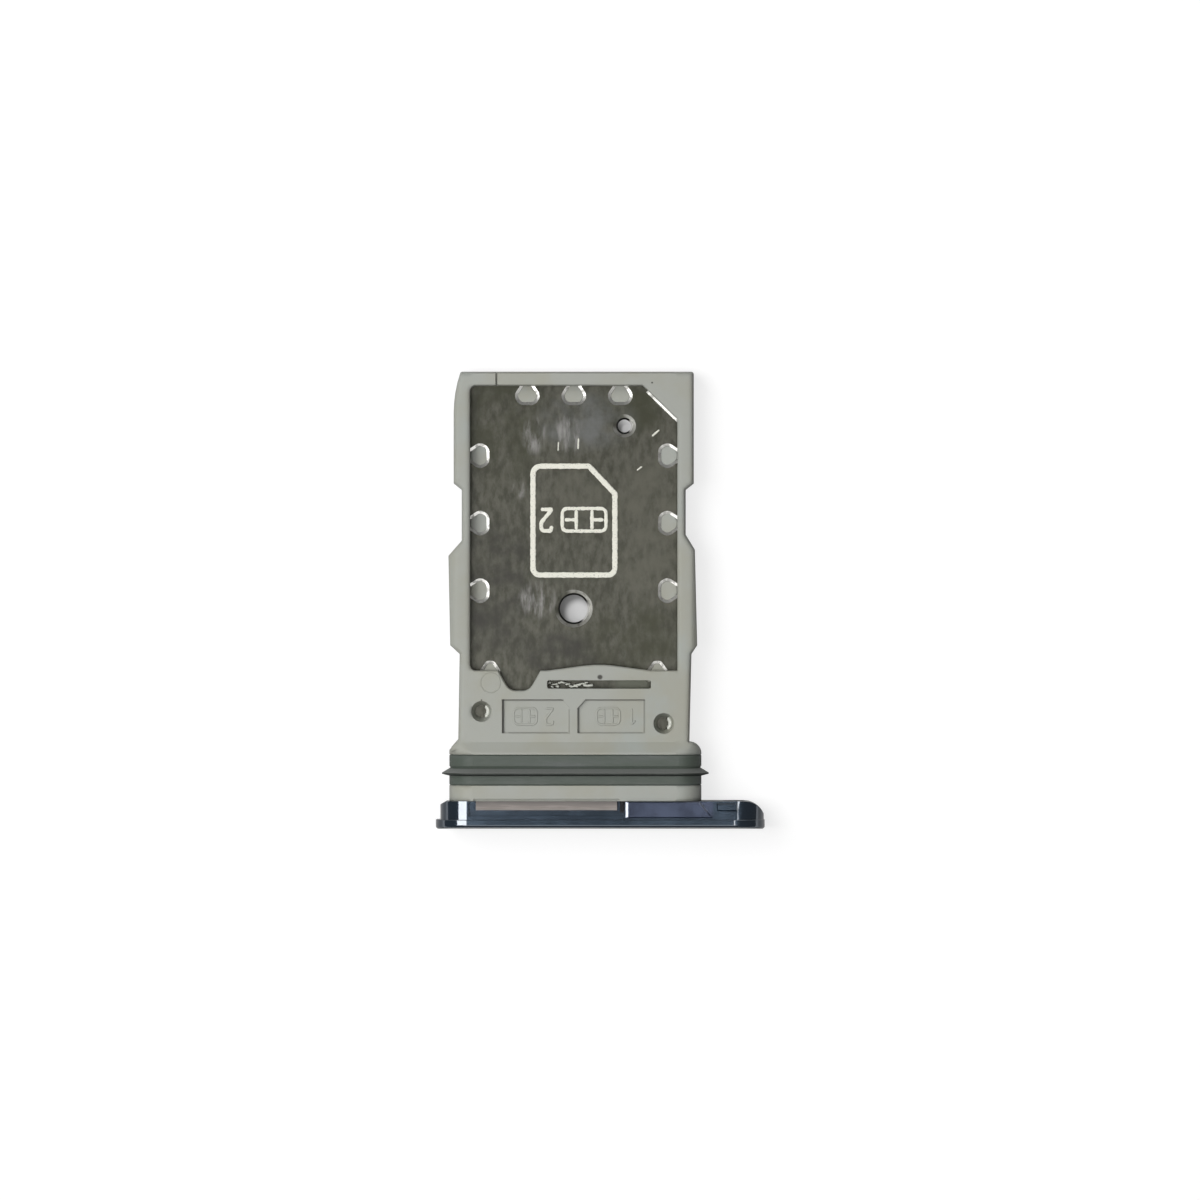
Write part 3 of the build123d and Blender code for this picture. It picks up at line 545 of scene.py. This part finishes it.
# The land beside the recess of the face plate, and the painted shade in the gap at its left end: places and
# half sizes
FACE_LAND = (4.15, 0.85, 1.9, 0.37)
LAND_GAP_SHADE = (2.1, 0.96, 0.12, 0.26)
NAVY_METALLIC = 0.6
COAT_IOR = 1.7
COAT_ROUGHNESS = 0.06


def make_navy():
    """Dark blue coated metal, polished, with a faint haze, a little paler on the land, and painted
    near-black as shade in the gap at the land's left end.
    """
    material, tree, shader = new_material("navy_metal")
    haze = clouds(tree, *HAZE_CLOUDS)
    colour = blend(tree, box(tree, *FACE_LAND), NAVY_COLOUR, NAVY_LAND)
    # Painted shade: the gap at the land's left end is near-black
    connect(tree, shader.inputs["Base Color"], blend(tree, box(tree, *LAND_GAP_SHADE), colour, NAVY_GAP_SHADE))
    shader.inputs["Metallic"].default_value = NAVY_METALLIC
    connect(tree, shader.inputs["Roughness"], rise(tree, haze, 0.0, 1.0, *NAVY_ROUGH))
    shader.inputs["Coat Weight"].default_value = 1.0
    shader.inputs["Coat IOR"].default_value = COAT_IOR
    shader.inputs["Coat Roughness"].default_value = COAT_ROUGHNESS
    return material


def dress_node(node, material):
    """Puts a finish on a node's own object."""
    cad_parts[node].material_slots[0].material = material


PLASTIC = make_plastic()
PALE_PLASTIC_AND_HIGHLIGHT = make_pale_plastic()
STEEL = make_steel()
ETCHING_AND_GLINT = make_etching()
dress_node("tray_frame", PLASTIC)
dress_node("card_plate", STEEL)
dress_node("seal_ring", make_rubber())
dress_node("face_plate", make_navy())


# Marks on the faces: strokes with a low rounded section, carried along a drawn line

# Length between a stroke's points, their least steps, points round a section and on a corner's arc
STROKE_STEP = 0.035
LEAST_STEPS = 6
SECTION_POINTS = 10
CORNER_POINTS = 9
# A stroke's rounded top, the least share of its width at an open end, squared, and its depth below its base
STROKE_FULLNESS = 0.6
LEAST_END = 0.0004
STROKE_SINK = 0.02
# Waves to 2 pi millimetres that make a stroke's width uneven
WAVER_PITCHES = (9.0, 17.0, 31.0)


def rounded_line(corners, rounds, closed=False):
    """Points of a line through corners, each turned on an arc of its own radius.

    A corner between directions a and b, turned by an angle t, is cut back by r tan(t/2) on both sides.
    The arc's points are start + r sin(w) a + r (1 - cos(w)) n for w from 0 to t, with n square to a on
    b's side.
    """
    corners = np.asarray(corners, float)
    pieces = []
    for index, radius in enumerate(rounds):
        at = corners[index]
        before = at - corners[index - 1]
        after = corners[(index + 1) % len(corners)] - at
        if not closed and index in (0, len(corners) - 1):
            pieces.append(at[None])
            continue
        before = before / np.hypot(*before)
        after = after / np.hypot(*after)
        cross = before[0] * after[1] - before[1] * after[0]
        turn = atan2(abs(cross), float(before @ after))
        square = np.sign(cross) * np.array([-before[1], before[0]])
        angle = np.linspace(0, turn, CORNER_POINTS)[:, None]
        start = at - before * radius * tan(turn / 2)
        pieces.append(start + radius * (np.sin(angle) * before + (1 - np.cos(angle)) * square))
    line = np.concatenate(pieces)
    return np.concatenate([line, line[:1]]) if closed else line


def even_points(line):
    """The same line with its points set evenly along its length, and how far along each lies."""
    run = np.concatenate([[0], np.cumsum(np.hypot(*np.diff(line, axis=0).T))])
    place = np.linspace(0, run[-1], max(int(run[-1] / STROKE_STEP), LEAST_STEPS) + 1)
    return np.stack([np.interp(place, run, line[:, axis]) for axis in (0, 1)], axis=1), place


def waver(place, amount, seed):
    """Uneven factor round 1 along a line: a sum of three sines with seeded phases."""
    phases = np.random.default_rng(seed).uniform(0, 2 * pi, len(WAVER_PITCHES))
    waves = sum(np.sin(place * pitch + phase) for pitch, phase in zip(WAVER_PITCHES, phases))
    return 1 + amount * waves / len(WAVER_PITCHES)


def stroke_grid(line, width, base, height, seed, sink=STROKE_SINK, closed=False, amount=0.08):
    """Grid of a raised stroke: at each point of the line a closed section stands across it.

    With the angle w round the section, a point lies half_width cos(w) to the left of the line. Its height
    is base + height |sin(w)|^fullness on the upper side and base - sink |sin(w)| on the lower one. At an
    open end the half width shrinks as a circle does, so the end is round. The amount is how uneven the
    width is.
    """
    points, place = even_points(line)
    if closed:
        points, place = points[:-1], place[:-1]
        ahead, behind = np.roll(points, -1, axis=0), np.roll(points, 1, axis=0)
        tangent = ahead - behind
    else:
        tangent = np.gradient(points, axis=0)
    tangent /= np.hypot(*tangent.T)[:, None]
    left = np.stack([-tangent[:, 1], tangent[:, 0]], axis=1)
    half = width / 2 * waver(place, amount, seed)
    if not closed:
        to_end = np.minimum(place, place[-1] - place)
        share = np.clip(to_end / (width / 2), 0, 1)
        half = half * np.sqrt(np.clip(1 - (1 - share) ** 2, LEAST_END, 1))
    angle = np.linspace(0, 2 * pi, SECTION_POINTS, endpoint=False)
    across = half[:, None] * np.cos(angle)
    upper = height * np.abs(np.sin(angle)) ** STROKE_FULLNESS
    lift = np.where(np.sin(angle) >= 0, upper, -sink * np.abs(np.sin(angle)))
    plan = points[:, None, :] + across[..., None] * left[:, None, :]
    heights = np.broadcast_to(base + lift, across.shape)
    return np.concatenate([plan, heights[..., None]], axis=2)


def grid_faces(rows, columns, closed_rows):
    """Corners of each cell of a grid whose columns close on themselves, and its rows too where told."""
    index = np.arange(rows * columns).reshape(rows, columns)
    index = np.concatenate([index, index[:, :1]], axis=1)
    if closed_rows:
        index = np.concatenate([index, index[:1]])
    cells = (index[:-1, :-1], index[1:, :-1], index[1:, 1:], index[:-1, 1:])
    return np.stack(cells, axis=-1).reshape(-1, 4)


def add_piece(name, grids, closed, material):
    """One piece on the tray's body, from grids in millimetres: a face on every cell, open ends capped."""
    shape = bmesh.new()
    for grid, closed_rows in zip(grids, closed):
        rows, columns = grid.shape[:2]
        mesh = bpy.data.meshes.new("part_of_" + name)
        faces = grid_faces(rows, columns, closed_rows).tolist()
        if not closed_rows:
            faces.append(list(range(columns)))
            faces.append(list(range(rows * columns - 1, (rows - 1) * columns - 1, -1)))
        mesh.from_pydata((grid.reshape(-1, 3) * MM).tolist(), [], faces)
        shape.from_mesh(mesh)
        bpy.data.meshes.remove(mesh)
    bmesh.ops.recalc_face_normals(shape, faces=shape.faces)
    mesh = bpy.data.meshes.new(name)
    shape.to_mesh(mesh)
    shape.free()
    mesh.polygons.foreach_set("use_smooth", np.ones(len(mesh.polygons), bool))
    mesh.materials.append(material)
    piece = new_object(name, mesh)
    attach(piece, "root")


def arc_points(radius, ends, count):
    """Points of an arc round the origin between two angles."""
    angle = np.linspace(*ends, count)
    return np.stack([np.cos(angle), np.sin(angle)], axis=1) * radius


def upside_down(line, middle, size):
    """A drawn sign, given in a box of 1 by 1, upside down in a box of a size round its middle."""
    return np.asarray(middle) - (np.asarray(line) - 0.5) * np.asarray(size)


# Drawn lines in a box of 1 by 1: two plain numerals, and the contacts of a card
TWO = rounded_line(
    [(0.04, 0.76), (0.14, 0.99), (0.93, 0.99), (0.93, 0.62), (0.04, 0.04), (0.98, 0.04)],
    [0.0, 0.12, 0.2, 0.16, 0.02, 0.0],
)
ONE = rounded_line([(0.15, 0.74), (0.58, 0.99), (0.58, 0.02)], [0.0, 0.03, 0.0])
CONTACT_LINES = (
    [(0.32, 0.06), (0.32, 0.94)],
    [(0.68, 0.06), (0.68, 0.94)],
    [(0.05, 0.5), (0.31, 0.5)],
    [(0.69, 0.5), (0.95, 0.5)],
)
CONTACT_CORNERS = [(0.0, 0.0), (1.0, 0.0), (1.0, 1.0), (0.0, 1.0)]

# Card sign etched in the plate: its outline, the numeral and the contacts in it
SIGN_CORNERS = [(-1.77, 11.03), (1.79, 11.03), (1.79, 14.56), (0.66, 15.76), (-1.77, 15.76)]
SIGN_ROUNDS = [0.3, 0.3, 0.08, 0.08, 0.34]
SIGN_LINE = 0.235
NUMERAL_LINE = 0.17
CONTACT_LINE = 0.15
ETCH_RISE = 0.006
NUMERAL_MIDDLE = (-1.19, 13.43)
NUMERAL_SIZE = (0.52, 0.98)
CONTACT_MIDDLE = (0.45, 13.43)
CONTACT_SIZE = (1.9, 0.98)
CONTACT_ROUND = 0.22


def contact_sign(middle, size):
    """Outline of a card's contacts and the lines that part them, as a list of line and closed."""
    low = np.asarray(middle) - np.asarray(size) / 2
    rounds = [CONTACT_ROUND] * len(CONTACT_CORNERS)
    outline = rounded_line(low + np.asarray(CONTACT_CORNERS) * size, rounds, closed=True)
    parts = [(low + np.asarray(line) * size, False) for line in CONTACT_LINES]
    return [(outline, True)] + parts


def make_card_sign():
    """The etched sign: a card's outline, a plain numeral and the card's contacts, with uneven lines."""
    on_plate = {"base": PLATE_FACE, "height": ETCH_RISE}
    outline = rounded_line(SIGN_CORNERS, SIGN_ROUNDS, closed=True)
    grids = [stroke_grid(outline, SIGN_LINE, **on_plate, seed=3, closed=True, amount=0.1)]
    closed = [True]
    numeral = upside_down(TWO, NUMERAL_MIDDLE, NUMERAL_SIZE)
    grids.append(stroke_grid(numeral, NUMERAL_LINE, **on_plate, seed=4, amount=0.16))
    closed.append(False)
    for seed, (line, loop) in enumerate(contact_sign(CONTACT_MIDDLE, CONTACT_SIZE), 5):
        grids.append(stroke_grid(line, CONTACT_LINE, **on_plate, seed=seed, closed=loop, amount=0.18))
        closed.append(loop)
    add_piece("etched_card_sign", grids, closed, ETCHING_AND_GLINT)


make_card_sign()

# Raised signs on the floors of the two shallow recesses in the panel
RAISED_LINE = 0.1
RAISED_HEIGHT = 0.016
RAISED_NUMERAL_SIZE = (0.36, 0.72)
RAISED_CONTACT_SIZE = (1.0, 0.72)
RAISED_MIDDLES = {"two": (TWO, -1.05), "one": (ONE, 2.55)}
RAISED_CONTACT_OFFSET = -1.05
RAISED_ALONG = 4.9
RAISED_WAVER = 0.05


def make_raised_signs():
    """A plain numeral and the card's contacts, low and rounded, moulded on each recess's floor."""
    on_floor = {"base": SIGN_FLOOR, "height": RAISED_HEIGHT, "amount": RAISED_WAVER}
    for name, (numeral, across) in RAISED_MIDDLES.items():
        line = upside_down(numeral, (across, RAISED_ALONG), RAISED_NUMERAL_SIZE)
        grids = [stroke_grid(line, RAISED_LINE, **on_floor, seed=20)]
        closed = [False]
        middle = (across + RAISED_CONTACT_OFFSET, RAISED_ALONG)
        for line, loop in contact_sign(middle, RAISED_CONTACT_SIZE):
            grids.append(stroke_grid(line, RAISED_LINE, **on_floor, seed=21, closed=loop))
            closed.append(loop)
        add_piece("raised_sign_" + name, grids, closed, PLASTIC)


make_raised_signs()

# Moulding flash in the slit behind the beam: ends of the ragged stretch, and a smooth roll beside it
FLASH_ENDS = (-1.05, 0.55)
FLASH_ALONG = 6.27
FLASH_SHREDS = 15
FLASH_ROLL = [(0.4, 6.26), (0.6, 6.22), (0.85, 6.25)]
FLASH_ROLL_LINE = 0.14
FLASH_ROLL_TOP = 0.5
FLASH_BASE = 0.2
FLASH_SINK = 0.05
FLASH_SEED = 31
# Drawn by chance for each shred: how far it strays along, its half run across and along, top and width
FLASH_STRAY = (-0.1, 0.1)
FLASH_REACH = (0.06, 0.14)
FLASH_SLANT = (-0.05, 0.05)
FLASH_TOPS = (0.4, 0.76)
FLASH_WIDTHS = (0.06, 0.13)


def make_flash():
    """Plastic squeezed into the slit: a roll, and shreds whose place, turn, width and height are seeded."""
    chance = np.random.default_rng(FLASH_SEED)
    in_slit = {"base": FLASH_BASE, "sink": FLASH_SINK}
    roll = np.array(FLASH_ROLL)
    grids = [stroke_grid(roll, FLASH_ROLL_LINE, **in_slit, height=FLASH_ROLL_TOP - FLASH_BASE, seed=30)]
    for seed, across in enumerate(np.linspace(*FLASH_ENDS, FLASH_SHREDS), FLASH_SEED):
        middle = np.array([across, FLASH_ALONG + chance.uniform(*FLASH_STRAY)])
        run = np.array([chance.uniform(*FLASH_REACH), chance.uniform(*FLASH_SLANT)])
        line = np.array([middle - run, middle + run])
        height = chance.uniform(*FLASH_TOPS) - FLASH_BASE
        width = chance.uniform(*FLASH_WIDTHS)
        grids.append(stroke_grid(line, width, **in_slit, height=height, seed=seed, amount=0.3))
    add_piece("slit_flash", grids, [False] * len(grids), PALE_PLASTIC_AND_HIGHLIGHT)


make_flash()

# Moulding flash in the two cups that core pins left: middles of the cups, and an arc in each, with the
# angles of its ends
CUP_MIDDLES = ((-4.0, 5.11), (3.91, 4.59))
CUP_FLASH_RADIUS = 0.29
CUP_FLASH_LINE = 0.22
CUP_FLASH_HEIGHT = 0.5
CUP_FLASH_ENDS = (-1.0, 1.0)
CUP_FLASH_POINTS = 25


def make_cup_flash():
    """A crescent of plastic in each cup: a stroke carried along an arc on its right."""
    arc = arc_points(CUP_FLASH_RADIUS, CUP_FLASH_ENDS, CUP_FLASH_POINTS)
    on_plate = {"base": PLATE_FACE, "height": CUP_FLASH_HEIGHT}
    grids = [stroke_grid(arc + middle, CUP_FLASH_LINE, **on_plate, seed=36) for middle in CUP_MIDDLES]
    # Their pale colour paints the lit crescent on each cup's right as a highlight
    add_piece("cup_flash", grids, [False] * len(grids), PALE_PLASTIC_AND_HIGHLIGHT)


make_cup_flash()

# Nicks in the plate: two ends and a width; the steel stands up beside each
PLATE_NICKS = (
    ((3.40, 17.06), (3.72, 17.34), 0.08),
    ((2.74, 15.57), (2.97, 15.75), 0.07),
    ((-0.68, 16.42), (-0.66, 16.82), 0.06),
    ((0.19, 16.50), (0.21, 16.98), 0.07),
)
NICK_RISE = 0.024


def make_nicks():
    """Slivers of steel raised by a sharp edge: low strokes that narrow to both ends, in the pale etched
    finish, which paints their glint.
    """
    grids = []
    for seed, (start, end, width) in enumerate(PLATE_NICKS, 41):
        line = np.array([start, end])
        # The pale etched finish paints the slivers' glint
        grids.append(stroke_grid(line, width, PLATE_FACE, NICK_RISE, seed, amount=0.2))
    add_piece("plate_nicks", grids, [False] * len(grids), ETCHING_AND_GLINT)


make_nicks()

# Faint ring that an ejector pin left on the panel
PIN_RING_MIDDLE = (-3.61, 6.36)
PIN_RING_RADIUS = 0.43
PIN_RING_LINE = 0.05
PIN_RING_RISE = 0.006
PIN_RING_POINTS = 49


def make_pin_ring():
    """A very low round ridge: a stroke carried round a circle."""
    circle = arc_points(PIN_RING_RADIUS, (0, 2 * pi), PIN_RING_POINTS) + PIN_RING_MIDDLE
    grid = stroke_grid(circle, PIN_RING_LINE, PANEL_FACE, PIN_RING_RISE, seed=51, closed=True, amount=0.1)
    add_piece("pin_ring", [grid], [True], PLASTIC)


make_pin_ring()

# Floor and backdrop
FLOOR_SIZE = 2000.0
FLOOR_COLOUR = (0.35, 0.35, 0.35, 1)
FLOOR_GLOW = 0.72
# Painted shadow under the tray: place and half sizes, mask at which it is full, and share of the glow left
# there.
# Painted pools of light below the plate's holes: places and half sizes, and level of the glow
SHADOW_PLACE = (0.0, 13.0, 5.0, 7.0)
SHADOW_FULL = 0.5
SHADOW_GLOW_LEFT = 0.08
HOLE_LIGHT_POOLS = ((0.2, 9.37, 0.78, 0.78), (2.36, 17.39, 0.4, 0.4))
HOLE_POOL_LEVEL = 0.36
# Share of the glow that reflections see near the tray, as painted shade: place and half sizes
REFLECTED_SHADE_PLACE = (1.15, 5.0, 26.0, 24.0)
REFLECTED_SHADE_LEFT = 0.12


def floor_glow(tree):
    """Strength of the floor's glow: full for rays that look at it straight or through a clear piece.

    Under the tray it is low, as a painted shadow, apart from a painted pool of light below each hole.
    Reflections see less of it near the tray, as painted shade.
    """
    # Painted shadow under the tray, with painted pools of light below the holes
    painted_shadow = spot(tree, *SHADOW_PLACE)
    level = rise(tree, painted_shadow, 0.0, SHADOW_FULL, FLOOR_GLOW, FLOOR_GLOW * SHADOW_GLOW_LEFT)
    for place in HOLE_LIGHT_POOLS:
        level = calc(tree, "MAXIMUM", level, calc(tree, "MULTIPLY", spot(tree, *place), HOLE_POOL_LEVEL))
    path = add(tree, "ShaderNodeLightPath").outputs
    straight = calc(tree, "MAXIMUM", path["Is Camera Ray"], path["Is Transmission Ray"])
    # Painted shade in reflections of the floor near the tray
    mirrored = rise(tree, spot(tree, *REFLECTED_SHADE_PLACE), 0.0, 1.0, 1.0, REFLECTED_SHADE_LEFT)
    mirrored = calc(tree, "MULTIPLY", path["Is Glossy Ray"], mirrored)
    return calc(tree, "MULTIPLY", calc(tree, "MAXIMUM", straight, mirrored), level)


def floor_height(along):
    """Height of the floor at a place along: the tray rests on its seal's lip and its tip, so it leans."""
    seal_low, seal_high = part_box("seal_ring")
    lip_along = (seal_low.y + seal_high.y) / 2
    tip_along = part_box("tray_frame")[1].y
    lean = (-PANEL_FACE * MM - seal_low.z) / (tip_along - lip_along)
    return seal_low.z + (along - lip_along) * lean


def make_floor():
    """Large pale floor that the tray lies on, which glows a little for the camera so that it shows white.

    From below it is clear and lets light through, so that the tray's underside can be looked at.
    """
    half = FLOOR_SIZE * MM / 2
    front, back = floor_height(-half), floor_height(half)
    corners = [(-half, -half, front), (half, -half, front), (half, half, back), (-half, half, back)]
    mesh = bpy.data.meshes.new("floor")
    mesh.from_pydata(corners, [], [(0, 1, 2, 3)])
    floor = new_object("floor", mesh)
    material = bpy.data.materials.new("white_floor")
    material.use_nodes = True
    tree = material.node_tree
    tree.nodes.clear()
    matte = add(tree, "ShaderNodeBsdfDiffuse", {"Color": FLOOR_COLOUR})
    glow = add(tree, "ShaderNodeEmission", {"Strength": floor_glow(tree)})
    both = add(tree, "ShaderNodeAddShader")
    tree.links.new(matte.outputs[0], both.inputs[0])
    tree.links.new(glow.outputs[0], both.inputs[1])
    below = add(tree, "ShaderNodeNewGeometry").outputs["Backfacing"]
    shadow = add(tree, "ShaderNodeLightPath").outputs["Is Shadow Ray"]
    clear = add(tree, "ShaderNodeBsdfTransparent")
    sided = add(tree, "ShaderNodeMixShader", {"Fac": calc(tree, "MAXIMUM", below, shadow)})
    tree.links.new(both.outputs[0], sided.inputs[1])
    tree.links.new(clear.outputs[0], sided.inputs[2])
    output = add(tree, "ShaderNodeOutputMaterial")
    tree.links.new(sided.outputs[0], output.inputs["Surface"])
    mesh.materials.append(material)


make_floor()

# Light: a dim sky, a soft key lamp, a weak lamp below, and panels overhead
SKY_LEVEL = 0.15
PANEL_HEIGHT = 200.0
# Panels: two places across and two along, counted from the tray's middle, and the radiance
PANELS = {
    "left_panel": ((-130.0, -17.0), (-4.0, 20.0), 4.0),
    "face_panel": ((-150.0, -17.0), (-28.0, -8.0), 11.0),
    "front_panel": ((-100.0, 60.0), (-100.0, -40.0), 2.2),
    "right_panel": ((20.0, 45.0), (-35.0, 10.0), 8.0),
}
KEY_DIRECTION = (-0.7, 0.3, 1.0)
KEY_DISTANCE = 250.0
KEY_WIDTH = 160.0
KEY_LEVEL = 4.5
UNDER_WIDTH = 160.0
UNDER_DISTANCE = 150.0
UNDER_LEVEL = 2.0


def make_sky():
    """Even soft light from all round, which shows as white behind the floor's edge."""
    world = bpy.data.worlds.new("soft_sky")
    bpy.context.scene.world = world
    world.use_nodes = True
    tree = world.node_tree
    tree.nodes.clear()
    level = add(tree, "ShaderNodeLightPath").outputs["Is Camera Ray"]
    strength = rise(tree, level, 0.0, 1.0, SKY_LEVEL, 1.0)
    background = add(tree, "ShaderNodeBackground", {"Strength": strength})
    output = add(tree, "ShaderNodeOutputWorld")
    tree.links.new(background.outputs[0], output.inputs["Surface"])


def new_lamp(name, width, height, level):
    """Rectangular lamp of a size in millimetres that gives off so much radiance."""
    data = bpy.data.lights.new(name, "AREA")
    data.shape = "RECTANGLE"
    data.size = width * MM
    data.size_y = height * MM
    data.energy = level * pi * data.size * data.size_y
    return new_object(name, data)


def make_panel(name, across, along, level):
    """Flat lamp overhead, facing down, between two places across and along from the tray's middle."""
    lamp = new_lamp(name, across[1] - across[0], along[1] - along[0], level)
    lamp.location = tray_middle + Vector((sum(across) / 2, sum(along) / 2, PANEL_HEIGHT)) * MM


def make_key_lamp():
    """Large soft lamp up and to the left of the tip, facing the tray."""
    lamp = new_lamp("key_lamp", KEY_WIDTH, KEY_WIDTH, KEY_LEVEL)
    towards = Vector(KEY_DIRECTION).normalized()
    lamp.location = tray_middle + towards * KEY_DISTANCE * MM
    lamp.rotation_euler = towards.to_track_quat("Z", "Y").to_euler()
    lamp.visible_glossy = False


def make_under_lamp():
    """Weak lamp under the floor, facing up, which shows the tray's underside in views from below."""
    lamp = new_lamp("under_lamp", UNDER_WIDTH, UNDER_WIDTH, UNDER_LEVEL)
    lamp.location = tray_middle - Vector((0, 0, UNDER_DISTANCE * MM))
    lamp.rotation_euler = (pi, 0, 0)
    lamp.visible_camera = False
    lamp.visible_glossy = False


make_sky()
for panel, settings in PANELS.items():
    make_panel(panel, *settings)
make_key_lamp()
make_under_lamp()


def make_camera():
    """Camera over the middle of the tray, looking straight down with the tip up in the picture."""
    data = bpy.data.cameras.new("camera")
    data.sensor_width = SENSOR_WIDTH
    data.lens = SENSOR_WIDTH * VIEW_DISTANCE / VIEW_WIDTH
    data.clip_start = VIEW_DISTANCE * MM / 10
    camera = new_object("camera", data)
    camera.location = Vector((*VIEW_MIDDLE, VIEW_DISTANCE)) * MM
    bpy.context.scene.camera = camera


make_camera()
bpy.context.scene.view_settings.view_transform = "Standard"
